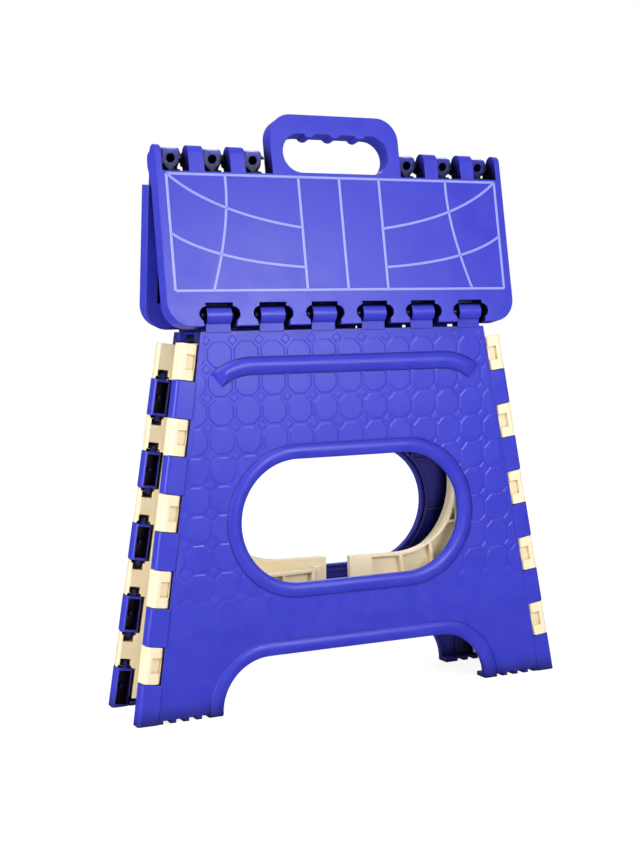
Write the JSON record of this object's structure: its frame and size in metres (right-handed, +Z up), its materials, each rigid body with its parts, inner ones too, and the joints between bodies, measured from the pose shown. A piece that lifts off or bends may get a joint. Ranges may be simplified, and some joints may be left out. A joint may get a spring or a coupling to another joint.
{
  "type": "folding step stool",
  "caption": "Folding step stool of moulded plastic panels with a carrying handle, standing almost folded.",
  "frame": {"origin": "on the floor, in the middle between the four feet of the almost folded stool", "axes": "+Z up, +Y from the front leg to the rear leg, +X to the right as seen from the front"},
  "size_m": [0.356, 0.0786, 0.4433],
  "materials": {
    "blue_plastic": "moulded, satin",
    "cream_plastic": "moulded, satin"
  },
  "bodies": {
    "seat_front": {"seat_front": "blue_plastic"},
    "seat_rear": {"seat_rear": "blue_plastic"},
    "leg_front": {"leg_front": "blue_plastic"},
    "leg_rear": {"leg_rear": "blue_plastic"},
    "side_front_left": {"side_front_left": "cream_plastic"},
    "side_rear_left": {"side_rear_left": "cream_plastic"},
    "side_front_right": {"side_front_right": "cream_plastic"},
    "side_rear_right": {"side_rear_right": "cream_plastic"}
  },
  "joints": [
    {"name": "corner_front_left", "type": "hinge", "parent": "leg_front", "child": "side_front_left", "pos_m": [-0.17142, -0.03081, 0], "axis": [0.1561, 0.0281, 0.9873], "range_deg": [-7.1, 83.5]},
    {"name": "fold_left", "type": "hinge", "parent": "side_front_left", "child": "side_rear_left", "pos_m": [0, 0, 1.08393], "axis": [-0.0171, 0, -0.9999], "range_deg": [-14.01, 164.64]},
    {"name": "corner_rear_left", "type": "hinge", "parent": "side_rear_left", "child": "leg_rear", "pos_m": [-0.17142, 0.03081, 0], "axis": [0.1561, -0.0281, 0.9873], "range_deg": [-7.11, 83.51]},
    {"name": "seat_rear_hinge", "type": "hinge", "parent": "leg_rear", "child": "seat_rear", "pos_m": [0, 0.02599, 0.29298], "axis": [1, 0, 0], "range_deg": [-6.33, 74.28]},
    {"name": "corner_front_right", "type": "hinge", "parent": "leg_front", "child": "side_front_right", "pos_m": [0.17142, -0.03081, 0], "axis": [0.1561, -0.0281, -0.9873], "range_deg": [-7.11, 83.51]},
    {"name": "fold_right", "type": "hinge", "parent": "side_front_right", "child": "side_rear_right", "pos_m": [0, 0, 1.08393], "axis": [-0.0171, 0, 0.9999], "range_deg": [-14.01, 164.64]},
    {"name": "seat_front_hinge", "type": "hinge", "parent": "leg_front", "child": "seat_front", "pos_m": [0, -0.02599, 0.29298], "axis": [-1, 0, 0], "range_deg": [-6.33, 74.28]}
  ],
  "couplings": [
    {"joint": "fold_left", "follows": "corner_front_left", "ratio": 1.9717},
    {"joint": "corner_rear_left", "follows": "corner_front_left", "ratio": 1},
    {"joint": "seat_rear_hinge", "follows": "corner_front_left", "ratio": 0.88943},
    {"joint": "corner_front_right", "follows": "corner_front_left", "ratio": 1},
    {"joint": "fold_right", "follows": "corner_front_left", "ratio": 1.9717},
    {"joint": "seat_front_hinge", "follows": "corner_front_left", "ratio": 0.88943}
  ]
}
